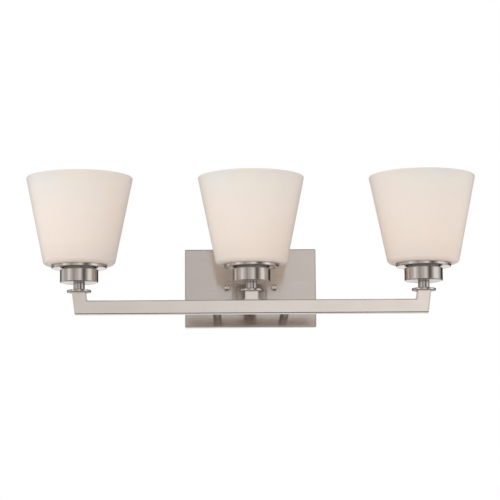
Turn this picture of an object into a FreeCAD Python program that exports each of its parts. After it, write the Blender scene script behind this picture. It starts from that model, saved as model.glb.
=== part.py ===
import FreeCAD, Part
import math
import os

# Three-light vanity bar. Millimetres; +X right, +Z up, the wall is the plane Y = 0 and the
# light stands out towards -Y. The origin is the centre of the crossbar's slots, on the wall.
Vector = FreeCAD.Vector

# ---- driving dimensions: layout ----
LAMP_SPACING = 242.5          # between neighbouring lamp axes
LAMP_OUT = 147.0              # from the wall to the lamp axes and the bar's centre line
BAR_DROP = 42.1               # the bar's centre line is this far below the origin
POST_SPACING = 98.0           # between the two posts that carry the bar
STUD_SPACING = 69.85          # 2-3/4 in, between the two mounting studs

# ---- driving dimensions: backplate and its mounting hardware ----
PLATE_WIDE, PLATE_HIGH, PLATE_DEEP = 193.0, 115.0, 19.0
PLATE_SHEET = 1.2
PLATE_BEND = 1.5              # outside radius of the pan's bends
STRAP_LONG, STRAP_HIGH, STRAP_THICK = 108.0, 19.0, 2.0
SLOT_SPACING = 88.9           # 3-1/2 in, between the outlet box's two screws
SLOT_LONG, SLOT_R = 8.4, 2.4
STRAP_CENTRE_HOLE_R = 5.0
STUD_R = 2.08                 # No. 8 thread
STUD_HOLE_R = 2.4
STUD_PROUD = 6.5              # beyond the plate's front
GROUND_X = 18.0
GROUND_R = 2.0
GROUND_HEAD_R, GROUND_HEAD_THICK = 4.0, 2.4
GROUND_HEAD_EDGE, GROUND_SLOT = 0.6, 1.0
EYELET_GAP, EYELET_THICK = 1.0, 0.8   # room under the screw's head, and the eyelet in it
CAP_AF, CAP_HEX, CAP_DOME_R = 9.0, 3.4, 4.2
NUT_AF, NUT_THICK = 8.7, 3.0

# ---- driving dimensions: square tube, posts ----
STOCK, STOCK_WALL = 19.05, 1.6 # 3/4 in square tube
STOCK_EDGE_R = 1.6
STUB_TOP = 21.8               # top of every stub above the bar's centre line
STUB_LEAN = math.radians(7.5) # the end stubs lean outwards towards the top
WELD_R = 2.2                  # fillet between a stub and the bar's top face
PLUG_LONG = 8.0
POST_R, POST_BORE_R = 6.0, 3.5
SPIGOT_R, SPIGOT_LONG = 4.9, 7.7
POST_NUT_AF, POST_NUT_THICK = 14.0, 5.0
LOCK_WASHER_R, LOCK_WASHER_THICK = 8.6, 1.0
NUT_CHAMFER = 0.6             # share of the corners' reach that the chamfer takes off

# ---- driving dimensions: one lamp, heights above the bar's centre line ----
NIPPLE_R, NIPPLE_BORE_R = 4.9, 3.3
NIPPLE_LOW, NIPPLE_HIGH, NIPPLE_EDGE = 14.8, 45.2, 0.5
WASHER_R, WASHER_THICK, WASHER_EDGE = 17.0, 3.3, 1.0
NECK_R, NECK_LONG, NECK_EDGE = 8.0, 10.4, 0.3
CUP_R, CUP_WALL, CUP_BASE = 27.0, 1.6, 2.0
CUP_EDGE, CUP_INNER_EDGE, CUP_LIP_EDGE = 1.2, 1.0, 0.4
CUP_GAP = 1.8                 # between the cup's open top and the shade holder
CUP_LOW = STUB_TOP + WASHER_THICK + NECK_LONG
HOLDER_R, HOLDER_LOW, HOLDER_THICK, HOLDER_EDGE = 38.9, 55.3, 5.7, 1.2
HOLDER_CLEARANCE = 0.3        # round the socket body
LAMP_NUT_AF, LAMP_NUT_THICK = 15.0, 3.2
GASKET_THICK = 0.7
GASKET_IN_R, GASKET_OUT_R = 21.6, 36.0
RING_FLANGE_R, RING_FLANGE_THICK = 28.0, 3.0
RING_SLEEVE_R, RING_HIGH, RING_EDGE = 22.2, 10.0, 0.8
RING_NOTCHES, RING_NOTCH_R = 12, 2.0
RING_NOTCH_OUT = 0.6          # the notches' centres are this far beyond the flange's edge

# ---- driving dimensions: socket, heights above the bar's centre line ----
SOCKET_R, SOCKET_HIGH, SOCKET_EDGE = 19.0, 84.8, 1.0
SOCKET_FLOOR, SOCKET_WELL_R, SOCKET_LIP = 58.8, 14.2, 0.8
HUB_LOW, HUB_HIGH = 41.8, 45.3             # the base that screws onto the nipple
CAVITY_R, CAVITY_HIGH = 15.0, 53.8         # room for the two terminals
COLLAR_R, COLLAR_LOW = 22.0, 52.0          # bears on the shade holder from below
SHELL_R, SHELL_THICK, SHELL_HIGH = 13.35, 0.6, 83.8
SHELL_RELIEF_R, SHELL_RELIEF_HIGH = 13.65, 61.4   # wider foot below the bulb's thread
SHELL_HOLE_R = 6.6                         # round the centre contact
BUTTON_R, BUTTON_TOP_R = 4.6, 2.6
BUTTON_STEP, BUTTON_HIGH = 0.6, 2.0
RIVET_R, CENTRE_RIVET_X, SHELL_RIVET_X = 1.3, 3.0, 11.0
TAG_THICK, TAG_HALF, TAG_NEAR = 0.8, 2.5, 0.3
CENTRE_TAG_LONG, SHELL_TAG_LONG = 6.0, 12.5

# ---- driving dimensions: glass shade ----
SHADE_TOP_R, SHADE_HIGH = 75.4, 184.8
SHADE_SLOPE = 0.204           # radius gained per unit of height
SHADE_WALL = 4.0
SHADE_CORNER_R, SHADE_INNER_CORNER_R = 7.5, 5.0
SHADE_RIM_R = 1.4
SHADE_HOLE_R, SHADE_HOLE_EDGE = 21.0, 0.6
SEAT_R, SEAT_DEPTH = 39.6, 1.9

# ---- driving dimensions: wiring ----
LEAD_R = 1.1                  # 18 AWG lead with its insulation
LEAD_BEND = 6.6
LEAD_IN_NIPPLE = 1.4          # each lead of a pair is this far from the lamp's axis
LEAD_IN_POST = 1.5
LEAD_TOP = 52.4               # where a lead meets its terminal, above the bar's centre line
LEAD_BACK = {"left": 2.4, "middle": 5.0, "right": 7.6}   # each pair's run in the pan, from the wall
LEAD_ACROSS_POST = {"left": -LEAD_IN_POST, "middle": LEAD_IN_POST, "right": 0.0}   # in the post's bore
LEAD_IN_SPLICE = 2.2          # the middle pair enters the caps beside the others
SPLICE_X, SPLICE_Y, SPLICE_Z = 10.0, -5.0, -31.0
SPLICE_R, SPLICE_TOP_R, SPLICE_WALL, SPLICE_EDGE = 6.0, 4.5, 1.1, 0.4
SPLICE_LONG, SPLICE_STRAIGHT, SPLICE_CROWN_R = 18.0, 9.9, 1.5
SPLICE_TAPER_AT, SPLICE_DEEP, SPLICE_DEEP_R = 9.0, 14.4, 3.0
SPLICE_GRIP = 6.0             # length of lead inside a cap
GROUND_WIRE_R, GROUND_WIRE_BEND = 0.9, 9.9
GROUND_WIRE_OUT = 3.6         # the wire's straight run, from the wall
GROUND_BARREL_R, GROUND_BARREL_LOW, GROUND_BARREL_LONG = 1.4, 4.4, 4.1
GROUND_PAD_R, GROUND_PAD_Z, GROUND_PAD_THICK = 3.0, 34.0, 0.8

FIT = 0.05                    # radial clearance of a thread or a turning fit
SEAT_GAP = 0.1                # between a hand-turned piece and the face that it clamps
LOOSE = 0.2                   # radial clearance of a plain hole

# ---- worked out from the driving dimensions ----
HALF = STOCK / 2
BORE_HALF = HALF - STOCK_WALL
BAR_Z = -BAR_DROP
POST_X = POST_SPACING / 2
STUD_X = STUD_SPACING / 2
PLATE_INSIDE = -PLATE_DEEP + PLATE_SHEET
SPIGOT_END = -PLATE_DEEP + SPIGOT_LONG
HOLDER_TOP = HOLDER_LOW + HOLDER_THICK
GLASS_SEAT = HOLDER_TOP + GASKET_THICK
GLASS_FLOOR = GLASS_SEAT + SHADE_WALL
MITRE_OUT = HALF / math.cos(STUB_LEAN) - (STUB_TOP + HALF) * math.tan(STUB_LEAN)
MITRE_IN = -HALF / math.cos(STUB_LEAN) - (STUB_TOP - HALF) * math.tan(STUB_LEAN)
LAMPS = {"left": -1, "middle": 0, "right": 1}
LIVE_SIDE = {"left": 1, "middle": -1, "right": 1}   # side of the axis that the black lead is on


# ---- helpers ----
def rounded_edges(points, radii, closed=False):
    """Straight runs through the points, with a tangent arc of the given radius at each corner."""
    count = len(points)
    starts, ends, arcs = list(points), list(points), [None] * count
    corners = range(count) if closed else range(1, count - 1)
    for i in corners:
        if radii[i] <= 0:
            continue
        corner = points[i]
        back = (points[i - 1] - corner).normalize()
        ahead = (points[(i + 1) % count] - corner).normalize()
        half_turn = (math.pi - back.getAngle(ahead)) / 2
        reach = radii[i] * math.tan(half_turn)
        inward = (back + ahead).normalize()
        middle = corner + inward * (radii[i] / math.cos(half_turn) - radii[i])
        starts[i], ends[i] = corner + back * reach, corner + ahead * reach
        arcs[i] = Part.Arc(starts[i], middle, ends[i]).toShape()
    edges = []
    for i in range(count):
        if arcs[i]:
            edges.append(arcs[i])
        follower = (i + 1) % count
        if (closed or i < count - 1) and ends[i].distanceToPoint(starts[follower]) > 1e-6:
            edges.append(Part.LineSegment(ends[i], starts[follower]).toShape())
    return edges


def turned(outline):
    """Solid of revolution about Z. outline: (radius, height) or (radius, height, corner radius)."""
    points = [Vector(p[0], 0, p[1]) for p in outline]
    radii = [p[2] if len(p) > 2 else 0 for p in outline]
    face = Part.Face(Part.Wire(rounded_edges(points, radii, closed=True)))
    return face.revolve(Vector(0, 0, 0), Vector(0, 0, 1), 360)


def disc(outer, inner, low, high, edge=0.0):
    """Washer shape about Z with both outer edges rounded."""
    return turned([(inner, low), (outer, low, edge), (outer, high, edge), (inner, high)])


def cylinder(radius, start, end):
    """Round rod between two points."""
    axis = end - start
    return Part.makeCylinder(radius, axis.Length, start, axis)


def hexagon(across_flats, low, high, bore):
    """Hexagonal nut about Z, its six corners chamfered by a wide cone at each face."""
    corner_r = across_flats / math.sqrt(3)
    corners = [Vector(corner_r * math.cos(math.pi / 3 * i), corner_r * math.sin(math.pi / 3 * i), low)
               for i in range(6)]
    block = Part.Face(Part.makePolygon(corners + corners[:1])).extrude(Vector(0, 0, high - low))
    drop = (corner_r - across_flats / 2) * NUT_CHAMFER
    flat_r = across_flats / 2
    barrel = turned([(bore, low), (flat_r, low), (corner_r, low + drop),
                     (corner_r, high - drop), (flat_r, high), (bore, high)])
    return block.common(barrel)


def facing_wall(shape):
    """Turns a piece made along +Z so that it points out of the wall, along -Y."""
    return shape.rotated(Vector(0, 0, 0), Vector(1, 0, 0), 90)


def prism(corners, half_depth):
    """Solid with the given XZ corners, running between Y = -half_depth and +half_depth."""
    points = [Vector(x, -half_depth, z) for x, z in corners]
    return Part.Face(Part.makePolygon(points + points[:1])).extrude(Vector(0, 2 * half_depth, 0))


def round_long_edges(solid, direction, radius):
    """Rounds the edges that run along the given direction."""
    edges = [e for e in solid.Edges if abs(e.tangentAt(e.FirstParameter).dot(direction)) > 0.999]
    return solid.makeFillet(radius, edges)


def on_bar(shape, x=0.0):
    """Places a piece made about the origin on the bar's centre line at x."""
    return shape.translated(Vector(x, -LAMP_OUT, BAR_Z))


def tube_along(points, radii, radius):
    """Round solid along straight runs and tangent arcs."""
    path = Part.Wire(rounded_edges(points, radii))
    start = points[0]
    profile = Part.Wire(Part.Circle(start, points[1] - start, radius).toShape())
    return path.makePipeShell([profile], True, True)


# ---- backplate and mounting hardware ----
def backplate():
    pan = Part.makeBox(PLATE_WIDE, PLATE_DEEP, PLATE_HIGH,
                       Vector(-PLATE_WIDE / 2, -PLATE_DEEP, -PLATE_HIGH / 2))
    outside = [e for e in pan.Edges if e.CenterOfMass.y < -PLATE_DEEP / 4]
    pan = pan.makeFillet(PLATE_BEND, outside)
    hollow = Part.makeBox(PLATE_WIDE - 2 * PLATE_SHEET, PLATE_DEEP, PLATE_HIGH - 2 * PLATE_SHEET,
                          Vector(-PLATE_WIDE / 2 + PLATE_SHEET, PLATE_INSIDE, -PLATE_HIGH / 2 + PLATE_SHEET))
    pan = pan.cut(hollow)
    for side in (-1, 1):
        front, back = Vector(0, -PLATE_DEEP - 1, 0), Vector(0, PLATE_INSIDE + 1, 0)
        stud, post = Vector(side * STUD_X, 0, 0), Vector(side * POST_X, 0, BAR_Z)
        pan = pan.cut(cylinder(STUD_HOLE_R, front + stud, back + stud))
        pan = pan.cut(cylinder(SPIGOT_R + LOOSE, front + post, back + post))
    return pan


def crossbar():
    strap = Part.makeBox(STRAP_LONG, STRAP_THICK, STRAP_HIGH,
                         Vector(-STRAP_LONG / 2, -STRAP_THICK, -STRAP_HIGH / 2))
    corners = [e for e in strap.Edges if abs(e.tangentAt(0).y) > 0.99]
    strap = strap.makeFillet(STRAP_HIGH / 5, corners)
    through = Vector(0, STRAP_THICK, 0)
    holes = [cylinder(STRAP_CENTRE_HOLE_R, Vector(0, 0, 0) - through, Vector(0, 0, 0)),
             cylinder(GROUND_R + FIT, Vector(GROUND_X, 0, 0) - through, Vector(GROUND_X, 0, 0))]
    reach = SLOT_LONG / 2 - SLOT_R
    for side in (-1, 1):
        stud = Vector(side * STUD_X, 0, 0)
        holes.append(cylinder(STUD_R + FIT, stud - through, stud))
        middle = Vector(side * SLOT_SPACING / 2, 0, 0)
        for end in (-reach, reach):
            holes.append(cylinder(SLOT_R, middle + Vector(end, 0, 0) - through, middle + Vector(end, 0, 0)))
        holes.append(Part.makeBox(2 * reach, STRAP_THICK, 2 * SLOT_R,
                                  middle + Vector(-reach, -STRAP_THICK, -SLOT_R)))
    return strap.cut(holes)


def mounting_studs():
    return [cylinder(STUD_R, Vector(side * STUD_X, 0, 0), Vector(side * STUD_X, -PLATE_DEEP - STUD_PROUD, 0))
            for side in (-1, 1)]


def stud_lock_nuts():
    nut = facing_wall(hexagon(NUT_AF, STRAP_THICK, STRAP_THICK + NUT_THICK, STUD_R + FIT))
    return [nut.translated(Vector(side * STUD_X, 0, 0)) for side in (-1, 1)]


def cap_nut(side):
    low = PLATE_DEEP + SEAT_GAP
    bore, bore_end = STUD_R + FIT, PLATE_DEEP + STUD_PROUD + FIT
    shoulder = low + CAP_HEX
    base = hexagon(CAP_AF, low, shoulder, bore)
    dome = Part.makeSphere(CAP_DOME_R, Vector(0, 0, shoulder), Vector(0, 0, 1), 0, 90, 360)
    nut = base.fuse(dome).cut(Part.makeCylinder(bore, bore_end - low, Vector(0, 0, low)))
    return facing_wall(nut.removeSplitter()).translated(Vector(side * STUD_X, 0, 0))


def ground_screw():
    head_low = STRAP_THICK + EYELET_GAP
    head_high = head_low + GROUND_HEAD_THICK
    shank = Part.makeCylinder(GROUND_R, head_low, Vector(0, 0, 0))
    head = disc(GROUND_HEAD_R, 0, head_low, head_high, GROUND_HEAD_EDGE)
    slot = Part.makeBox(2 * GROUND_HEAD_R, GROUND_SLOT, GROUND_SLOT,
                        Vector(-GROUND_HEAD_R, -GROUND_SLOT / 2, head_high - GROUND_SLOT))
    return facing_wall(shank.fuse(head).cut(slot)).translated(Vector(GROUND_X, 0, 0))


def ground_wire():
    """Bare wire with an eyelet under the ground screw, soldered to the inside of the pan."""
    low = STRAP_THICK + (EYELET_GAP - EYELET_THICK) / 2
    eyelet = facing_wall(disc(GROUND_HEAD_R, GROUND_R + FIT, low, low + EYELET_THICK))
    tongue_low = (GROUND_R + GROUND_HEAD_R) / 2
    tongue = Part.makeBox(2 * GROUND_BARREL_R, EYELET_THICK, GROUND_BARREL_LOW + GROUND_BARREL_R - tongue_low,
                          Vector(-GROUND_BARREL_R, -low - EYELET_THICK, tongue_low))
    run = Vector(0, -GROUND_WIRE_OUT, GROUND_BARREL_LOW)
    barrel = cylinder(GROUND_BARREL_R, run, run + Vector(0, 0, GROUND_BARREL_LONG))
    end = Vector(0, PLATE_INSIDE, GROUND_PAD_Z)
    pad = cylinder(GROUND_PAD_R, end, end + Vector(0, GROUND_PAD_THICK, 0))
    points = [run, Vector(0, run.y, end.z), end + Vector(0, GROUND_PAD_THICK / 2, 0)]
    wire = tube_along(points, [0, GROUND_WIRE_BEND, 0], GROUND_WIRE_R)
    print("ground wire bend", GROUND_WIRE_BEND)
    return wire.fuse([eyelet, tongue, barrel, pad]).translated(Vector(GROUND_X, 0, 0))


# ---- square tube frame and posts ----
def bar_tube():
    low, high = LAMP_SPACING + MITRE_OUT, LAMP_SPACING + MITRE_IN
    tube = prism([(-low, -HALF), (low, -HALF), (high, HALF), (-high, HALF)], HALF)
    tube = round_long_edges(tube, Vector(1, 0, 0), STOCK_EDGE_R)
    bore = [(-low, -BORE_HALF), (low, -BORE_HALF), (low, BORE_HALF), (-low, BORE_HALF)]
    tube = tube.cut(prism(bore, BORE_HALF))
    tube = tube.cut(Part.makeCylinder(SPIGOT_R, STOCK, Vector(0, 0, 0)))
    for side in (-1, 1):
        x = side * POST_X
        tube = tube.cut(cylinder(POST_BORE_R, Vector(x, 0, 0), Vector(x, STOCK, 0)))
    return on_bar(tube)


def weld_fillet(x, z, away):
    """Small concave bead between the bar's top face and a stub's side at x."""
    near, out, up = Vector(x, 0, z), Vector(x + away * WELD_R, 0, z), Vector(x, 0, z + WELD_R)
    bulge = near + Vector(away, 0, 1) * (WELD_R * (1 - math.sqrt(0.5)))
    wire = Part.Wire([Part.LineSegment(near, out).toShape(), Part.Arc(out, bulge, up).toShape(),
                      Part.LineSegment(up, near).toShape()])
    half_depth = HALF - STOCK_EDGE_R
    return Part.Face(wire).extrude(Vector(0, 2 * half_depth, 0)).translated(Vector(0, -half_depth, 0))


def end_stub_outline(half_width, low_reach):
    """Corners of the leaning stub, lamp axis at x = 0, cut below by the mitre line."""
    across = half_width / math.cos(STUB_LEAN)
    drop = (STUB_TOP - low_reach) * math.tan(STUB_LEAN)
    return [(-across - drop, low_reach), (across - drop, low_reach), (across, STUB_TOP), (-across, STUB_TOP)]


def stub(side):
    if side == 0:
        solid = prism([(-HALF, HALF), (HALF, HALF), (HALF, STUB_TOP), (-HALF, STUB_TOP)], HALF)
        solid = round_long_edges(solid, Vector(0, 0, 1), STOCK_EDGE_R)
        bore = [(-BORE_HALF, 0), (BORE_HALF, 0), (BORE_HALF, 2 * STOCK), (-BORE_HALF, 2 * STOCK)]
        solid = solid.cut(prism(bore, BORE_HALF))
        beads = [weld_fillet(away * HALF, HALF, away) for away in (-1, 1)]
        return on_bar(solid.fuse(beads))
    top = HALF / math.cos(STUB_LEAN)
    solid = prism([(MITRE_IN, HALF), (MITRE_OUT, -HALF), (top, STUB_TOP), (-top, STUB_TOP)], HALF)
    solid = round_long_edges(solid, Vector(math.sin(STUB_LEAN), 0, math.cos(STUB_LEAN)), STOCK_EDGE_R)
    solid = solid.cut(prism(end_stub_outline(BORE_HALF, -STOCK), BORE_HALF))
    solid = solid.fuse(weld_fillet(MITRE_IN, HALF, -1))
    if side < 0:
        solid = solid.mirror(Vector(0, 0, 0), Vector(1, 0, 0))
    return on_bar(solid, side * LAMP_SPACING)


def stub_plug(side):
    """Threaded steel plug that closes the top of a stub and holds the lamp's nipple."""
    half, low = BORE_HALF - FIT, STUB_TOP - PLUG_LONG
    if side == 0:
        plug = prism([(-half, low), (half, low), (half, STUB_TOP), (-half, STUB_TOP)], half)
    else:
        plug = prism(end_stub_outline(half, low), half)
    if side < 0:
        plug = plug.mirror(Vector(0, 0, 0), Vector(1, 0, 0))
    plug = plug.cut(Part.makeCylinder(NIPPLE_R + FIT, PLUG_LONG, Vector(0, 0, low)))
    return on_bar(plug, side * LAMP_SPACING)


def post(side):
    at = Vector(side * POST_X, 0, BAR_Z)
    front, shoulder, end = (at + Vector(0, y, 0) for y in (-LAMP_OUT + HALF, -PLATE_DEEP, SPIGOT_END))
    rod = cylinder(POST_R, front, shoulder).fuse(cylinder(SPIGOT_R, shoulder, end))
    return rod.cut(cylinder(POST_BORE_R, front, end))


def post_lock_washers():
    high = -PLATE_INSIDE
    washer = facing_wall(disc(LOCK_WASHER_R, SPIGOT_R + LOOSE, high - LOCK_WASHER_THICK, high))
    return [washer.translated(Vector(side * POST_X, 0, BAR_Z)) for side in (-1, 1)]


def post_nuts():
    high = -PLATE_INSIDE - LOCK_WASHER_THICK
    nut = facing_wall(hexagon(POST_NUT_AF, high - POST_NUT_THICK, high, SPIGOT_R + FIT))
    return [nut.translated(Vector(side * POST_X, 0, BAR_Z)) for side in (-1, 1)]


# ---- one lamp, made about its own axis ----
def nipple():
    return disc(NIPPLE_R, NIPPLE_BORE_R, NIPPLE_LOW, NIPPLE_HIGH, NIPPLE_EDGE)


def check_washer():
    return disc(WASHER_R, NIPPLE_R + LOOSE, STUB_TOP, STUB_TOP + WASHER_THICK, WASHER_EDGE)


def neck():
    return disc(NECK_R, NIPPLE_R + LOOSE, STUB_TOP + WASHER_THICK, CUP_LOW, NECK_EDGE)


def socket_cup():
    high = HOLDER_LOW - CUP_GAP
    return turned([(NIPPLE_R + LOOSE, CUP_LOW), (CUP_R, CUP_LOW, CUP_EDGE), (CUP_R, high, CUP_LIP_EDGE),
                   (CUP_R - CUP_WALL, high, CUP_LIP_EDGE),
                   (CUP_R - CUP_WALL, CUP_LOW + CUP_BASE, CUP_INNER_EDGE),
                   (NIPPLE_R + LOOSE, CUP_LOW + CUP_BASE)])


def lamp_lock_nut():
    low = CUP_LOW + CUP_BASE
    return hexagon(LAMP_NUT_AF, low, low + LAMP_NUT_THICK, NIPPLE_R + FIT)


def shade_holder():
    return disc(HOLDER_R, SOCKET_R + HOLDER_CLEARANCE, HOLDER_LOW, HOLDER_TOP, HOLDER_EDGE)


def gasket():
    return disc(GASKET_OUT_R, GASKET_IN_R, HOLDER_TOP, GLASS_SEAT)


def rivet_places(live):
    """X of the rivet that joins each terminal tag to its contact."""
    return {"centre": live * CENTRE_RIVET_X, "shell": -live * SHELL_RIVET_X}


def socket_body(live):
    bore = NIPPLE_R + FIT
    body = turned([(bore, HUB_LOW), (SOCKET_R, HUB_LOW, SOCKET_EDGE), (SOCKET_R, COLLAR_LOW),
                   (COLLAR_R, COLLAR_LOW), (COLLAR_R, HOLDER_LOW), (SOCKET_R, HOLDER_LOW),
                   (SOCKET_R, SOCKET_HIGH, SOCKET_EDGE), (SOCKET_WELL_R, SOCKET_HIGH, SOCKET_LIP),
                   (SOCKET_WELL_R, SOCKET_FLOOR), (0, SOCKET_FLOOR), (0, CAVITY_HIGH),
                   (CAVITY_R, CAVITY_HIGH), (CAVITY_R, HUB_HIGH), (bore, HUB_HIGH)])
    for x in rivet_places(live).values():
        body = body.cut(cylinder(RIVET_R + FIT, Vector(x, 0, LEAD_TOP), Vector(x, 0, SOCKET_HIGH)))
    return body


def terminal(x_near, x_far, rivet_x):
    """Flat tag above a lead's end, with the rivet that rises from it through the socket's floor."""
    tag = Part.makeBox(abs(x_far - x_near), 2 * TAG_HALF, TAG_THICK,
                       Vector(min(x_near, x_far), -TAG_HALF, LEAD_TOP))
    return tag.fuse(cylinder(RIVET_R, Vector(rivet_x, 0, LEAD_TOP), Vector(rivet_x, 0, SOCKET_FLOOR)))


def centre_contact(live):
    step, top = SOCKET_FLOOR + BUTTON_STEP, SOCKET_FLOOR + BUTTON_HIGH
    button = turned([(0, SOCKET_FLOOR), (BUTTON_R, SOCKET_FLOOR), (BUTTON_R, step),
                     (BUTTON_TOP_R, top), (0, top)])
    return button.fuse(terminal(live * TAG_NEAR, live * CENTRE_TAG_LONG, rivet_places(live)["centre"]))


def screw_shell(live):
    outer, floor = SHELL_R + SHELL_THICK, SOCKET_FLOOR + SHELL_THICK
    cup = turned([(SHELL_HOLE_R, SOCKET_FLOOR), (outer, SOCKET_FLOOR), (outer, SHELL_HIGH),
                  (SHELL_R, SHELL_HIGH), (SHELL_R, SHELL_RELIEF_HIGH), (SHELL_RELIEF_R, SHELL_RELIEF_HIGH),
                  (SHELL_RELIEF_R, floor), (SHELL_HOLE_R, floor)])
    return cup.fuse(terminal(-live * TAG_NEAR, -live * SHELL_TAG_LONG, rivet_places(live)["shell"]))


def retaining_ring():
    low = GLASS_FLOOR + SEAT_GAP
    flange_high, high = low + RING_FLANGE_THICK, low + RING_HIGH
    inner = SOCKET_R + FIT
    ring = turned([(inner, low), (RING_FLANGE_R, low, RING_EDGE), (RING_FLANGE_R, flange_high, RING_EDGE),
                   (RING_SLEEVE_R, flange_high), (RING_SLEEVE_R, high, RING_EDGE), (inner, high)])
    notches = []
    for i in range(RING_NOTCHES):
        turn = 2 * math.pi * i / RING_NOTCHES
        away = Vector(math.cos(turn), math.sin(turn), 0) * (RING_FLANGE_R + RING_NOTCH_OUT)
        notches.append(cylinder(RING_NOTCH_R, away + Vector(0, 0, low), away + Vector(0, 0, flange_high)))
    return ring.cut(notches)


def glass_shade():
    low = GLASS_SEAT - SEAT_DEPTH
    outer_low = SHADE_TOP_R - (SHADE_HIGH - low) * SHADE_SLOPE
    across = SHADE_WALL * math.hypot(1, SHADE_SLOPE)
    inner_low = SHADE_TOP_R - (SHADE_HIGH - GLASS_FLOOR) * SHADE_SLOPE - across
    outside = [(SHADE_HOLE_R, GLASS_SEAT, SHADE_HOLE_EDGE), (SEAT_R, GLASS_SEAT), (SEAT_R, low),
               (outer_low, low, SHADE_CORNER_R), (SHADE_TOP_R, SHADE_HIGH, SHADE_RIM_R)]
    inside = [(SHADE_TOP_R - across, SHADE_HIGH, SHADE_RIM_R), (inner_low, GLASS_FLOOR, SHADE_INNER_CORNER_R),
              (SHADE_HOLE_R, GLASS_FLOOR, SHADE_HOLE_EDGE)]
    return turned(outside + inside)


# ---- wiring ----
def lead(lamp, black):
    """One lead from its terminal, down the nipple, along the bar, through a post, to its splice."""
    side = LAMPS[lamp]
    toward = 1 if side < 0 else -1                     # direction of the run along the bar
    offset = LIVE_SIDE[lamp] * (1 if black else -1) * LEAD_IN_NIPPLE
    lane = LEAD_IN_POST if offset * toward > 0 else -LEAD_IN_POST
    post_x = POST_X if side > 0 else -POST_X
    turn_x = post_x + LEAD_ACROSS_POST[lamp]
    back_y = -LEAD_BACK[lamp]
    splice_x = -SPLICE_X if black else SPLICE_X
    if side == 0:
        splice_x -= LEAD_IN_SPLICE
    x, z = side * LAMP_SPACING + offset, BAR_Z + lane
    points = [Vector(x, -LAMP_OUT, BAR_Z + LEAD_TOP), Vector(x, -LAMP_OUT, z),
              Vector(turn_x, -LAMP_OUT, z), Vector(turn_x, back_y, z),
              Vector(splice_x, back_y, z), Vector(splice_x, back_y, SPLICE_Z + SPLICE_GRIP)]
    pan_bend = min(LEAD_BEND, back_y - SPIGOT_END)
    radii = [0, LEAD_BEND, LEAD_BEND, pan_bend, LEAD_BEND, 0]
    solid = tube_along(points, radii, LEAD_R)
    path = Part.Wire(rounded_edges(points, radii))
    print(lamp, "black" if black else "white", "length", round(path.Length, 1), "bends", radii[1:-1],
          "volume ratio", round(solid.Volume / (path.Length * math.pi * LEAD_R ** 2), 4))
    return solid


def splice_caps():
    """Two closed-end crimp caps, mouths down, that join the three black and the three white leads."""
    mouth_r = SPLICE_R - SPLICE_WALL
    cap = turned([(mouth_r, 0), (SPLICE_R, 0, SPLICE_EDGE), (SPLICE_R, SPLICE_STRAIGHT),
                  (SPLICE_TOP_R, SPLICE_LONG, SPLICE_CROWN_R), (0, SPLICE_LONG), (0, SPLICE_DEEP),
                  (SPLICE_DEEP_R, SPLICE_DEEP), (mouth_r, SPLICE_TAPER_AT)])
    return [cap.translated(Vector(side * SPLICE_X, SPLICE_Y, SPLICE_Z)) for side in (-1, 1)]


# ---- write every node ----
def save(node, shape):
    """Writes one node; a list becomes a group of separate solids."""
    if isinstance(shape, list):
        shape = Part.makeCompound(shape)
    for solid in shape.Solids:
        if not solid.isValid() or solid.Volume <= 0:
            print("bad solid in", node)
    shape.exportStep("parts/" + node + ".step")


def main():
    os.makedirs("parts", exist_ok=True)
    save("backplate", backplate())
    save("crossbar", crossbar())
    save("mounting_studs", mounting_studs())
    save("stud_lock_nuts", stud_lock_nuts())
    save("cap_nut_left", cap_nut(-1))
    save("cap_nut_right", cap_nut(1))
    save("ground_screw", ground_screw())
    save("ground_wire", ground_wire())
    save("bar_tube", bar_tube())
    save("post_left", post(-1))
    save("post_right", post(1))
    save("post_lock_washers", post_lock_washers())
    save("post_nuts", post_nuts())
    save("leads_black", [lead(lamp, True) for lamp in LAMPS])
    save("leads_white", [lead(lamp, False) for lamp in LAMPS])
    save("splice_caps", splice_caps())
    for lamp, side in LAMPS.items():
        live = LIVE_SIDE[lamp]
        save("stub_" + lamp, stub(side))
        save("stub_plug_" + lamp, stub_plug(side))
        pieces = {"nipple": nipple(), "check_washer": check_washer(), "neck": neck(),
                  "socket_cup": socket_cup(), "lamp_lock_nut": lamp_lock_nut(),
                  "shade_holder": shade_holder(), "gasket": gasket(), "glass_shade": glass_shade(),
                  "retaining_ring": retaining_ring(), "socket_body": socket_body(live),
                  "screw_shell": screw_shell(live), "centre_contact": centre_contact(live)}
        for name, shape in pieces.items():
            save(name + "_" + lamp, on_bar(shape, side * LAMP_SPACING))


main()
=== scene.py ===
import math

import bmesh
import bpy
from mathutils import Matrix, Vector


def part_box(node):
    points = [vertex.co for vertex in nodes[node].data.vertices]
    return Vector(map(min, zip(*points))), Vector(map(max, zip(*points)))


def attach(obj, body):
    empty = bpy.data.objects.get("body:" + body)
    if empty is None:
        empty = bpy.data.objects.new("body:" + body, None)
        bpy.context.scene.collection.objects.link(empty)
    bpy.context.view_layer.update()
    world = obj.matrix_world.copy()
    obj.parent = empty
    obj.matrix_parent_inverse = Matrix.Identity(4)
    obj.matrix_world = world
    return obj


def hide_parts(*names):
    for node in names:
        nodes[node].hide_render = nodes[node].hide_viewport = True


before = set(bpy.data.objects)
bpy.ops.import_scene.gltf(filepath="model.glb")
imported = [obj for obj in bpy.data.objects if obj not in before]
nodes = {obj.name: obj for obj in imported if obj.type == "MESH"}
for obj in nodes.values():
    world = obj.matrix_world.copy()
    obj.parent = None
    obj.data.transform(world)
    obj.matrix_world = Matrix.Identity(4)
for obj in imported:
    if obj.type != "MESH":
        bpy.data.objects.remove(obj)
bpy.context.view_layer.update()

# A vanity bar with three opal glass shades. Everything is in metres, in the CAD frame: +X right,
# +Z up, the wall is the plane Y = 0 and the light stands out towards -Y.
LAMPS = ("left", "middle", "right")
MM = 0.001


def middle_of(node):
    low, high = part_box(node)
    return (low + high) / 2


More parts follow.
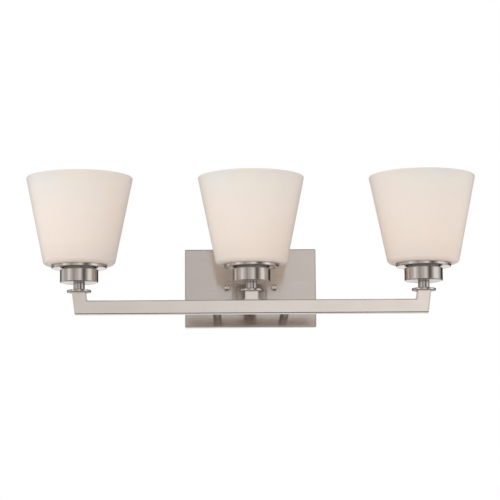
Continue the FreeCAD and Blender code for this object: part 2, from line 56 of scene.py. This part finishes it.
LAMP_AXIS = {lamp: middle_of("neck_" + lamp) for lamp in LAMPS}
LAMP_SPACING = LAMP_AXIS["right"].x
LAMP_Y = LAMP_AXIS["middle"].y
NUT_AXIS = middle_of("cap_nut_right")
NUT_DOME = 4.2 * MM               # depth of the dome in front of the hexagon
NUT_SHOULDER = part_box("cap_nut_right")[0].y + NUT_DOME
SHADE_LOW, SHADE_HIGH = (corner.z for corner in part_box("glass_shade_middle"))


def add_object(name, data):
    made = bpy.data.objects.new(name, data)
    bpy.context.scene.collection.objects.link(made)
    return made


# ---- shader graphs ----
NOISE_SPAN = (0.3, 0.7)           # where nearly all values of a noise lie
BEVEL_SAMPLES = 4
EDGE_COSINES = (0.985, 0.75)      # rounded normal against true normal: open face, sharp edge


class Graph:
    """Adds nodes to one tree. An input given as a socket is linked, anything else is set."""

    def __init__(self, tree):
        self.tree = tree

    def put(self, socket, value):
        if isinstance(value, bpy.types.NodeSocket):
            self.tree.links.new(value, socket)
        else:
            socket.default_value = value

    def feed(self, node, **inputs):
        """Fills a node's inputs, whose names are written with _ for a space."""
        for name, value in inputs.items():
            self.put(node.inputs[name.replace("_", " ")], value)

    def node(self, kind, settings=None, **inputs):
        made = self.tree.nodes.new("ShaderNode" + kind)
        for name, value in (settings or {}).items():
            setattr(made, name, value)
        self.feed(made, **inputs)
        return made

    def operate(self, kind, operation, values):
        made = self.node(kind, {"operation": operation})
        for socket, value in zip(made.inputs, values):
            self.put(socket, value)
        return made.outputs

    def math(self, operation, *values):
        return self.operate("Math", operation, values)["Value"]

    def vector(self, operation, *values):
        kind = "Value" if operation == "DOT_PRODUCT" else "Vector"
        return self.operate("VectorMath", operation, values)[kind]

    def total(self, first, *others):
        for other in others:
            first = self.math("ADD", first, other)
        return first

    def combine(self, x, y, z):
        return self.node("CombineXYZ", X=x, Y=y, Z=z).outputs[0]

    def split(self, vector):
        return self.node("SeparateXYZ", Vector=vector).outputs

    def polar(self, x, y):
        """The distance of (x, y) from the origin, and its angle in radians."""
        square = self.math("ADD", self.math("MULTIPLY", x, x), self.math("MULTIPLY", y, y))
        return self.math("SQRT", square), self.math("ARCTAN2", y, x)

    def place(self):
        """The point's place in the CAD frame, which stays with its piece."""
        return self.node("TexCoord").outputs["Object"]

    def remap(self, value, source, target=(0.0, 1.0), smooth=False):
        """The value carried from the source range to the target range, and kept inside it."""
        kind = "SMOOTHSTEP" if smooth else "LINEAR"
        made = self.node("MapRange", {"interpolation_type": kind}, Value=value)
        for name, number in zip(("From Min", "From Max", "To Min", "To Max"), (*source, *target)):
            made.inputs[name].default_value = number
        return made.outputs[0]

    def swing(self, noise, by):
        """A noise carried to -by ... by."""
        return self.remap(noise, NOISE_SPAN, (-by, by))

    def noise(self, vector, scale, detail=2.0, roughness=0.5):
        made = self.node("TexNoise", Vector=vector, Scale=scale, Detail=detail, Roughness=roughness)
        return made.outputs["Fac"]

    def ramp(self, factor, stops, interpolation="LINEAR"):
        made = self.node("ValToRGB", Fac=factor)
        made.color_ramp.interpolation = interpolation
        elements = made.color_ramp.elements
        while len(elements) < len(stops):
            elements.new(0.5)
        for element, (at, colour) in zip(elements, stops):
            element.position = at
            element.color = (*colour, 1.0)
        return made.outputs["Color"]

    def mix(self, factor, first, second):
        made = self.node("Mix", {"data_type": "RGBA"})
        self.put(made.inputs[0], factor)
        for socket, value in ((made.inputs[6], first), (made.inputs[7], second)):
            is_socket = isinstance(value, bpy.types.NodeSocket)
            self.put(socket, value if is_socket else (*value, 1.0))
        return made.outputs[2]

    def edges(self, radius):
        """1 on edges sharper than the radius, 0 on open faces."""
        rounded = self.node("Bevel", {"samples": BEVEL_SAMPLES}, Radius=radius).outputs[0]
        true = self.node("NewGeometry").outputs["Normal"]
        return self.remap(self.vector("DOT_PRODUCT", rounded, true), EDGE_COSINES)

    def bump(self, height, distance, strength):
        return self.node("Bump", Height=height, Distance=distance, Strength=strength).outputs[0]


def material(name):
    """A new material with one Principled shader: the material, its graph and the shader."""
    made = bpy.data.materials.new(name)
    made.use_nodes = True
    return made, Graph(made.node_tree), made.node_tree.nodes["Principled BSDF"]


def grey(level):
    return (level,) * 3


def scaled(colour, by):
    return tuple(min(channel * by, 1.0) for channel in colour)


def mottled(g, factor, colour, darkest, lightest):
    """The colour times darkest where the factor is 0, and times lightest where it is 1."""
    return g.mix(factor, scaled(colour, darkest), scaled(colour, lightest))


def rubbed(g, tone, edge, colour, share, gain):
    """The tone, with up to this share of the colour times gain along the edges."""
    return g.mix(g.math("MULTIPLY", edge, share), tone, scaled(colour, gain))


# ---- metals ----
QUARTER_TURN = 0.25
ALONG_X, ALONG_Y = (0.012, 1.0, 1.0), (1.0, 0.02, 1.0)    # squeezes a noise into brush lines


def stretch_highlights(g, shader, amount, axis, painted_edge_shade):
    """Full metal with highlights stretched about an axis; painted_edge_shade, if given, darkens it
    at glancing angles, a painted shade on undersides seen edge on.
    """
    tangent = g.node("Tangent", {"direction_type": "RADIAL", "axis": axis}).outputs[0]
    g.feed(shader, Metallic=1.0, Anisotropic=amount, Tangent=tangent)
    # painted shade: the specular tint darkens what is seen edge on, such as undersides
    if painted_edge_shade:
        g.feed(shader, Specular_Tint=(*painted_edge_shade, 1.0))


def brushed_metal(name, colour, roughness, anisotropic, grain=ALONG_X, painted_edge_shade=None):
    """Straight work brushed along its length: fine lines, broad streaks and a faint cloud."""
    made, g, shader = material(name)
    place = g.vector("MULTIPLY", g.place(), grain)
    fine = g.noise(place, scale=5200.0, detail=3.0, roughness=0.6)
    broad = g.noise(place, scale=620.0)
    cloud = g.noise(g.place(), scale=28.0, detail=3.0)
    tone = mottled(g, broad, colour, darkest=0.95, lightest=1.04)
    tone = g.mix(g.remap(cloud, (0.35, 0.65), (0.0, 0.35)), tone, scaled(colour, 0.93))
    tone = rubbed(g, tone, g.edges(radius=0.8 * MM), colour, share=0.4, gain=1.12)
    rough = g.total(g.swing(fine, by=0.035), g.swing(cloud, by=0.02), roughness)
    bump = g.bump(fine, distance=0.004 * MM, strength=0.5)
    g.feed(shader, Base_Color=tone, Roughness=rough, Normal=bump)
    stretch_highlights(g, shader, anisotropic, "X", painted_edge_shade)
    return made


LAMP_RING_DRIFT = 0.25 * MM       # per radian: how far a ring's noise moves on round its axis
NUT_RING_DRIFT = 0.1 * MM


def around_lamp(g):
    """(distance from the nearest lamp axis, height, a little of the angle) for turned pieces."""
    x, y, z = g.split(g.place())
    number = g.math("ROUND", g.math("DIVIDE", x, LAMP_SPACING))
    x = g.math("SUBTRACT", x, g.math("MULTIPLY", number, LAMP_SPACING))
    distance, angle = g.polar(x, g.math("SUBTRACT", y, LAMP_Y))
    return g.combine(distance, z, g.math("MULTIPLY", angle, LAMP_RING_DRIFT))


def around_nut(g):
    """The same about the cap nuts' axes, which run along Y."""
    x, y, z = g.split(g.place())
    x = g.math("SUBTRACT", g.math("ABSOLUTE", x), NUT_AXIS.x)
    distance, angle = g.polar(x, g.math("SUBTRACT", z, NUT_AXIS.z))
    return g.combine(distance, y, g.math("MULTIPLY", angle, NUT_RING_DRIFT))


ON_LAMP, ON_NUT = (around_lamp, "Z"), (around_nut, "Y")   # a turned piece's axis
HEXAGON_STARTS, HEXAGON_FULL = NUT_SHOULDER - 0.8 * MM, NUT_SHOULDER - 0.1 * MM


def nut_flats_painted_shade(g):
    """1 on the cap nuts' hexagon, 0 on their dome: the hexagon is painted darker, as shade at the
    nut's base.
    """
    return g.remap(g.split(g.place())[1], (HEXAGON_STARTS, HEXAGON_FULL))


def turned_metal(name, colour, roughness, anisotropic, turned_on=ON_LAMP, painted_edge_shade=None,
                 darker=None):
    """Work turned on a lathe: fine rings about its axis, highlights stretched across them.
    darker gives a factor that is 1 where painted shade makes the metal half as bright."""
    made, g, shader = material(name)
    around, axis = turned_on
    place = around(g)
    rings = g.noise(place, scale=4200.0, detail=3.0, roughness=0.6)
    broad = g.noise(place, scale=500.0)
    cloud = g.noise(g.place(), scale=60.0, detail=3.0)
    tone = mottled(g, broad, colour, darkest=0.94, lightest=1.05)
    tone = rubbed(g, tone, g.edges(radius=0.6 * MM), colour, share=0.35, gain=1.12)
    if darker:
        tone = g.mix(darker(g), tone, scaled(colour, by=0.5))
    rough = g.total(g.swing(rings, by=0.03), g.swing(cloud, by=0.02), roughness)
    bump = g.bump(rings, distance=0.003 * MM, strength=0.4)
    g.feed(shader, Base_Color=tone, Roughness=rough, Normal=bump)
    g.feed(shader, Anisotropic_Rotation=QUARTER_TURN)
    stretch_highlights(g, shader, anisotropic, axis, painted_edge_shade)
    return made


def plated_metal(name, colour, roughness, stain, spangle=900.0):
    """Small pressed or plated hardware: faint spangle, dull spots, brighter rubbed edges."""
    made, g, shader = material(name)
    grains = g.noise(g.place(), scale=spangle, detail=3.0, roughness=0.65)
    spots = g.noise(g.place(), scale=140.0, detail=4.0, roughness=0.6)
    tone = mottled(g, g.remap(grains, (0.35, 0.65)), colour, darkest=0.9, lightest=1.05)
    tone = g.mix(g.remap(spots, (0.56, 0.72), (0.0, 0.5), smooth=True), tone, stain)
    tone = rubbed(g, tone, g.edges(radius=0.4 * MM), colour, share=0.5, gain=1.15)
    dull = g.remap(spots, (0.4, 0.7), (-0.05, 0.12))
    rough = g.total(dull, g.swing(grains, by=0.03), roughness)
    bump = g.bump(grains, distance=0.01 * MM, strength=0.4)
    g.feed(shader, Base_Color=tone, Roughness=rough, Normal=bump, Metallic=1.0)
    return made


def painted_steel(name, colour, bare, roughness):
    """Coated steel worn through to the metal along its edges."""
    made, g, shader = material(name)
    chips = g.noise(g.place(), scale=1500.0, detail=4.0, roughness=0.7)
    worn = g.remap(chips, (0.4, 0.55), smooth=True)
    worn = g.math("MULTIPLY", g.edges(radius=0.5 * MM), worn)
    cloud = g.noise(g.place(), scale=300.0, detail=3.0)
    tone = g.mix(worn, mottled(g, cloud, colour, darkest=0.85, lightest=1.15), bare)
    metallic = g.remap(worn, (0.0, 1.0), (0.4, 1.0))
    rough = g.remap(chips, NOISE_SPAN, (roughness - 0.06, roughness + 0.08))
    bump = g.bump(chips, distance=0.01 * MM, strength=0.5)
    g.feed(shader, Base_Color=tone, Metallic=metallic, Roughness=rough, Normal=bump)
    return made


# ---- glass, plastics, rubber ----
# The glass's colour from its bottom (0) to its rim (1), darker at the bottom as painted shade, and
# the warm painted glow laid over it in clouds.
GLASS_BODY = (
    (0.0, (0.76, 0.675, 0.615)), (0.25, (0.845, 0.75, 0.68)), (0.6, (0.845, 0.77, 0.71)),
    (0.88, (0.79, 0.765, 0.725)), (0.97, (0.75, 0.73, 0.70)), (1.0, (0.72, 0.70, 0.67)),
)
GLASS_PAINTED_GLOW = (0.87, 0.74, 0.64)


def opal_glass():
    """White opal glass with a satin skin: cream in its middle, greyer towards the rim, with painted
    shade at its bottom and a warm painted glow in clouds.
    """
    made, g, shader = material("opal_glass")
    height = g.remap(g.split(g.place())[2], (SHADE_LOW, SHADE_HIGH))
    cloud = g.noise(g.place(), scale=9.0, roughness=0.45)
    cloud = g.remap(cloud, (0.38, 0.66), (0.0, 0.4), smooth=True)
    # painted glow: warm clouds mixed into the glass's colour, as of light through it
    body = g.mix(cloud, g.ramp(height, GLASS_BODY), GLASS_PAINTED_GLOW)
    rough = g.remap(g.noise(g.place(), scale=45.0, detail=3.0), (0.0, 1.0), (0.27, 0.33))
    waves = g.noise(g.place(), scale=24.0, detail=1.0)
    bump = g.bump(waves, distance=0.25 * MM, strength=0.15)
    g.feed(shader, Base_Color=body, Roughness=rough, Normal=bump)
    g.feed(shader, IOR=1.5, Specular_IOR_Level=0.15)
    g.feed(shader, Subsurface_Weight=0.35, Subsurface_Radius=(1.0, 0.8, 0.6),
           Subsurface_Scale=4 * MM)
    return made


def moulded(name, colour, roughness, speck, grain=700.0, soft=0.0):
    """Moulded plastic or rubber: fine mould texture, faint specks, polished edges."""
    made, g, shader = material(name)
    texture = g.noise(g.place(), scale=grain, detail=3.0, roughness=0.6)
    specks = g.noise(g.place(), scale=1900.0, detail=1.0)
    cloud = g.noise(g.place(), scale=90.0)
    edge = g.edges(radius=0.4 * MM)
    tone = mottled(g, cloud, colour, darkest=0.93, lightest=1.04)
    tone = g.mix(g.remap(specks, (0.64, 0.7), (0.0, 0.5)), tone, speck)
    tone = rubbed(g, tone, edge, colour, share=0.3, gain=1.12)
    rough = g.remap(texture, NOISE_SPAN, (roughness - 0.05, roughness + 0.08))
    rough = g.math("SUBTRACT", rough, g.math("MULTIPLY", edge, 0.12))
    bump = g.bump(texture, distance=0.03 * MM, strength=0.35)
    g.feed(shader, Base_Color=tone, Roughness=rough, Normal=bump)
    g.feed(shader, Subsurface_Weight=soft, Subsurface_Scale=2 * MM)
    return made


# ---- which look each piece has ----
# All the nickel pieces share one brushed nickel. The factors on NICKEL in the looks below are
# painted light and shade: the bar and cap nuts lightened, the plate, cups, holders, washers, necks
# and posts darkened, most of all the necks and posts.
NICKEL = (0.69, 0.622, 0.575)
ZINC, ZINC_STAIN = (0.56, 0.58, 0.60), (0.42, 0.43, 0.42)
BRASS, BRASS_STAIN = (0.76, 0.55, 0.24), (0.45, 0.29, 0.12)
SHELL, SHELL_STAIN = (0.78, 0.76, 0.72), (0.6, 0.58, 0.54)
COPPER, COPPER_STAIN = (0.72, 0.36, 0.2), (0.34, 0.16, 0.09)
GREEN, BARE_STEEL = (0.05, 0.26, 0.09), (0.55, 0.56, 0.55)
PHENOLIC_SPECK = (0.6, 0.57, 0.5)
LEAD_GRAIN = 1600.0

looks = {
    # painted light: the bar's nickel lightened by 1.2
    "bar": brushed_metal(
        "brushed_nickel_bar_painted_light", scaled(NICKEL, 1.2), roughness=0.22, anisotropic=0.6),
    # painted shade: the plate's nickel darkened to 0.86
    "plate": brushed_metal(
        "brushed_nickel_plate_painted_shade", scaled(NICKEL, 0.86), roughness=0.12, anisotropic=0.88),
    "turned": turned_metal(
        "turned_nickel", scaled(NICKEL, 0.9), roughness=0.19, anisotropic=0.85),
    "polished": turned_metal(
        "polished_nickel", scaled(NICKEL, 0.9), roughness=0.10, anisotropic=0.3),
    # painted shade: the washers' nickel, with a dark tint on their undersides seen edge on
    "washer": turned_metal(
        "polished_nickel_washer_painted_shade", scaled(NICKEL, 0.95), roughness=0.10, anisotropic=0.3,
        painted_edge_shade=(0.48, 0.45, 0.43)),
    # painted shade: the necks' nickel darkened to 0.72
    "neck": turned_metal(
        "turned_nickel_neck_painted_shade", scaled(NICKEL, 0.72), roughness=0.09, anisotropic=0.6),
    # painted highlight: the nuts' nickel lightened by 1.24; painted shade: their hexagon half as
    # bright
    "nut": turned_metal(
        "turned_nickel_nut_painted_light_and_shade", scaled(NICKEL, 1.24), roughness=0.17, anisotropic=0.2,
        turned_on=ON_NUT, darker=nut_flats_painted_shade),
    # painted shade: the posts' nickel darkened to 0.52, with a dark tint where seen edge on
    "post": brushed_metal(
        "brushed_nickel_post_painted_shade", scaled(NICKEL, 0.52), roughness=0.24, anisotropic=0.3,
        grain=ALONG_Y, painted_edge_shade=(0.52, 0.49, 0.46)),
    "zinc": plated_metal("zinc_steel", ZINC, roughness=0.32, stain=ZINC_STAIN),
    "brass": plated_metal("brass", BRASS, roughness=0.25, stain=BRASS_STAIN),
    "shell": plated_metal(
        "nickel_shell", SHELL, roughness=0.18, stain=SHELL_STAIN, spangle=500.0),
    "copper": plated_metal("bare_copper", COPPER, roughness=0.3, stain=COPPER_STAIN),
    "green": painted_steel("green_steel", GREEN, bare=BARE_STEEL, roughness=0.35),
    "glass": opal_glass(),
    "socket": moulded("socket_phenolic", (0.84, 0.82, 0.76), roughness=0.36, speck=PHENOLIC_SPECK),
    "ring": moulded(
        "ring_phenolic", (0.82, 0.80, 0.75), roughness=0.33, speck=PHENOLIC_SPECK, grain=420.0),
    "silicone": moulded(
        "silicone", (0.78, 0.78, 0.74), roughness=0.48, speck=(0.7, 0.7, 0.66), grain=1100.0,
        soft=0.4),
    "black": moulded(
        "lead_black", (0.022, 0.022, 0.024), roughness=0.42, speck=(0.05, 0.05, 0.05),
        grain=LEAD_GRAIN),
    "white": moulded(
        "lead_white", (0.78, 0.78, 0.75), roughness=0.4, speck=(0.6, 0.6, 0.57),
        grain=LEAD_GRAIN),
    "nylon": moulded(
        "splice_nylon", (0.68, 0.64, 0.5), roughness=0.34, speck=(0.55, 0.5, 0.38), soft=0.3),
}
# Each key is the beginning of the names of the pieces that have its look.
NODE_LOOKS = {
    "backplate": "plate", "bar_tube": "bar", "stub": "bar", "post_left": "post",
    "post_right": "post", "cap_nut": "nut", "check_washer": "washer", "neck": "neck",
    "socket_cup": "turned", "shade_holder": "polished", "crossbar": "zinc",
    "mounting_studs": "zinc", "stud_lock_nuts": "zinc", "post_lock_washers": "zinc",
    "post_nuts": "zinc", "stub_plug": "zinc", "nipple": "zinc", "lamp_lock_nut": "zinc",
    "ground_screw": "green", "ground_wire": "copper", "centre_contact": "brass",
    "screw_shell": "shell", "socket_body": "socket", "retaining_ring": "ring",
    "gasket": "silicone", "glass_shade": "glass", "leads_black": "black",
    "leads_white": "white", "splice_caps": "nylon",
}


def look_of(node):
    """The look whose entry in NODE_LOOKS is the longest that the node's name begins with."""
    return looks[NODE_LOOKS[max((key for key in NODE_LOOKS if node.startswith(key)), key=len)]]


for node, piece in nodes.items():
    for slot in piece.material_slots:
        slot.material = look_of(node)


# ---- screw shells with their rolled thread ----
THREAD_PITCH = 3.63 * MM          # seven turns to the inch
THREAD_RISE = 0.48 * MM           # crests and roots lie this far either side of the middle
THREAD_FADE = 8                   # the thread grows over one part in this many at each end
SHELL_SHEET = 0.28 * MM           # thickness of the rolled wall
CAD_SHEET = 0.6 * MM              # thickness of the CAD shell's floor
WELD, NEAR = 0.001 * MM, 0.1 * MM
AROUND, PER_TURN = 96, 14         # points around the wall, rows of them in each turn
OUTSIDE, INSIDE = 1, -1


def rolled_wall(mesh, axis, outer, bottom, top):
    """Adds the threaded wall: up its outside, down its inside, closed at both ends."""
    centre = outer - SHELL_SHEET / 2 - THREAD_RISE
    rows = round((top - bottom) / THREAD_PITCH * PER_TURN)
    profile = [(OUTSIDE, i / rows) for i in range(rows + 1)]
    profile += [(INSIDE, i / rows) for i in range(rows, -1, -1)]
    rings = []
    for side, share in profile:
        z = bottom + (top - bottom) * share
        fade = min(1.0, share * THREAD_FADE, (1 - share) * THREAD_FADE)
        ring = []
        for i in range(AROUND):
            angle = 2 * math.pi * i / AROUND
            phase = 2 * math.pi * (z - bottom) / THREAD_PITCH - angle
            radius = centre + THREAD_RISE * fade * math.cos(phase) + side * SHELL_SHEET / 2
            radius += THREAD_RISE * (1 - fade)
            x, y = axis.x + radius * math.cos(angle), axis.y + radius * math.sin(angle)
            ring.append(mesh.verts.new((x, y, z)))
        rings.append(ring)
    for ring, follower in zip(rings, rings[1:] + rings[:1]):
        for i in range(AROUND):
            j = (i + 1) % AROUND
            mesh.faces.new((ring[i], ring[j], follower[j], follower[i])).smooth = True


def threaded_shell(lamp):
    """The CAD shell with its plain wall swapped for a rolled one, floor and terminal kept."""
    cad = nodes["screw_shell_" + lamp]
    low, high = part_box("screw_shell_" + lamp)
    axis = LAMP_AXIS[lamp]
    outer = (high.y - low.y) / 2
    mesh = bmesh.new()
    mesh.from_mesh(cad.data)
    bmesh.ops.remove_doubles(mesh, verts=mesh.verts, dist=WELD)
    bottom = min(v.co.z for v in mesh.verts
                 if math.hypot(v.co.x - axis.x, v.co.y - axis.y) > outer - NEAR)
    wall_from = bottom + CAD_SHEET + NEAR
    wall = [f for f in mesh.faces if max(v.co.z for v in f.verts) > wall_from]
    bmesh.ops.delete(mesh, geom=wall, context="FACES")
    bmesh.ops.bridge_loops(mesh, edges=[e for e in mesh.edges if e.is_boundary])
    for face in mesh.faces:
        face.smooth = False
    rolled_wall(mesh, axis, outer, bottom, high.z)
    bmesh.ops.recalc_face_normals(mesh, faces=mesh.faces)
    data = bpy.data.meshes.new("threaded_shell_" + lamp)
    mesh.to_mesh(data)
    mesh.free()
    data.materials.append(looks["shell"])
    piece = add_object("threaded_shell_" + lamp, data)
    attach(piece, "fixture")
    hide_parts("screw_shell_" + lamp)


for lamp in LAMPS:
    threaded_shell(lamp)


# ---- floor ----
FLOOR_Z, FLOOR_HALF = -1.5, 6.0
FLOOR_DARK, FLOOR_PALE = (0.88, 0.87, 0.85), (0.92, 0.91, 0.89)
CORNERS = ((-1, -1), (1, -1), (1, 1), (-1, 1))


def paper_floor():
    made, g, shader = material("floor_paper")
    mottle = g.noise(g.place(), scale=5.0, detail=3.0)
    g.feed(shader, Base_Color=g.mix(mottle, FLOOR_DARK, FLOOR_PALE), Roughness=0.7)
    data = bpy.data.meshes.new("floor")
    corners = [(x * FLOOR_HALF, y * FLOOR_HALF, FLOOR_Z) for x, y in CORNERS]
    data.from_pydata(corners, [], [(0, 1, 2, 3)])
    data.materials.append(made)
    sheet = add_object("floor", data)
    sheet.visible_glossy = False


paper_floor()

# ---- studio ----
# The greys that the metal mirrors, by azimuth in degrees: 0 is in front of the light, towards -Y,
# and 90 is towards +X.
STUDIO_PANELS = (
    (-180, 0.95), (-174, 0.95), (-167, 0.1), (-146, 0.12), (-128, 0.32), (-116, 0.82),
    (-104, 0.75), (-90, 0.55), (-72, 0.62), (-62, 1.12), (-56, 1.06), (-48, 0.76), (-40, 0.64),
    (-28, 0.4), (-16, 0.62), (-8, 0.62), (-3, 0.76), (5, 0.93), (10, 0.98), (15, 0.84),
    (20, 0.48), (26, 0.24), (32, 0.08), (38, 0.16), (45, 0.34), (52, 0.6), (65, 1.15),
    (85, 1.1), (112, 0.5), (126, 0.05), (167, 0.04), (174, 0.95),
)
# Bands are heights on the unit sphere, from where a change begins to where it is complete.
LOW_BAND, LOW_GREY, LOW_SHARE = (-0.12, -0.24), 0.62, 0.8    # panels fade towards one grey
HIGH_BAND, HIGH_GREY = (0.42, 0.62), 0.3                     # and end in a darker one above
BELOW_BAND, BELOW_GREY = (-0.52, -0.64), 0.04                # and near black below
BELOW_SLOPE = 0.35                # the near black begins this much lower in front of the light
TENT = 0.70                       # even grey that lights matt surfaces from all round
WHITE = (1.0, 1.0, 1.0)           # what the camera sees behind the light


def studio_world():
    world = bpy.data.worlds.new("studio")
    world.use_nodes = True
    g = Graph(world.node_tree)
    x, y, z = g.split(g.node("TexCoord").outputs["Generated"])
    azimuth = g.math("ARCTAN2", x, g.math("MULTIPLY", y, -1.0))
    turn = g.remap(azimuth, (-math.pi, math.pi))
    stops = [((angle + 180) / 360, grey(level)) for angle, level in STUDIO_PANELS]
    low = g.remap(z, LOW_BAND, (0.0, LOW_SHARE), smooth=True)
    sky = g.mix(low, g.ramp(turn, stops, "EASE"), grey(LOW_GREY))
    sky = g.mix(g.remap(z, HIGH_BAND, smooth=True), sky, grey(HIGH_GREY))
    in_front = g.math("MULTIPLY", g.math("MINIMUM", y, 0.0), BELOW_SLOPE)
    below = g.remap(g.math("SUBTRACT", z, in_front), BELOW_BAND, smooth=True)
    sky = g.mix(below, sky, grey(BELOW_GREY))
    path = g.node("LightPath").outputs
    light = g.mix(path["Is Diffuse Ray"], sky, grey(TENT))
    background = world.node_tree.nodes["Background"]
    g.feed(background, Color=g.mix(path["Is Camera Ray"], light, WHITE))
    bpy.context.scene.world = world


AIM_Y = -0.15                     # depth of the point that the lights face, near the lamps


def area_light(name, place, aim_z, size, watts, colour):
    """A soft square light that faces the lamps at a height. It is left out of reflections,
    because the world holds the studio's panels."""
    lamp = bpy.data.lights.new(name, "AREA")
    lamp.size, lamp.energy, lamp.color = size, watts, colour
    light = add_object(name, lamp)
    light.location = place
    aim = Vector((0, AIM_Y, aim_z))
    light.rotation_euler = (aim - Vector(place)).to_track_quat("-Z", "Y").to_euler()
    light.visible_glossy = False
    light.visible_camera = False


LIGHTS = (
    # name, place, height aimed at, size, watts, colour
    ("key", (-1.75, -2.1, 1.2), 0.03, 1.8, 26.0, (1.0, 0.99, 0.97)),
    ("fill", (2.0, -1.8, 0.6), 0.03, 1.6, 8.0, (1.0, 0.97, 0.94)),
    ("left", (-2.2, -0.5, 0.4), 0.08, 1.4, 3.8, (1.0, 0.98, 0.96)),
    ("right", (2.2, -0.5, 0.4), 0.08, 1.4, 5.5, (1.0, 0.98, 0.96)),
    ("back", (0.4, 1.8, 1.2), 0.05, 1.6, 16.0, (1.0, 0.95, 0.9)),
)
studio_world()
for settings in LIGHTS:
    area_light(*settings)

# ---- camera ----
CAMERA_PLACE = (-0.0359, -2.8470, -0.3359)
CAMERA_TURN, CAMERA_RISE, CAMERA_ROLL = (math.radians(angle) for angle in (-0.721, 7.901, 0.409))
LEVEL_AHEAD = math.pi / 2         # lifts the camera from looking down to looking along +Y
SENSOR, LENS = 36.0, 139.13       # in millimetres
CLIP_START, CLIP_END = 0.05, 50.0


def camera():
    data = bpy.data.cameras.new("camera")
    data.sensor_width, data.lens = SENSOR, LENS
    data.clip_start, data.clip_end = CLIP_START, CLIP_END
    made = add_object("camera", data)
    looking = Matrix.Rotation(CAMERA_TURN, 3, "Z") @ Matrix.Rotation(CAMERA_RISE, 3, "X")
    looking = looking @ Matrix.Rotation(CAMERA_ROLL, 3, "Y") @ Matrix.Rotation(LEVEL_AHEAD, 3, "X")
    made.matrix_world = Matrix.Translation(CAMERA_PLACE) @ looking.to_4x4()
    bpy.context.scene.camera = made


camera()
bpy.context.scene.view_settings.view_transform = "Standard"
bpy.context.scene.view_settings.look = "None"
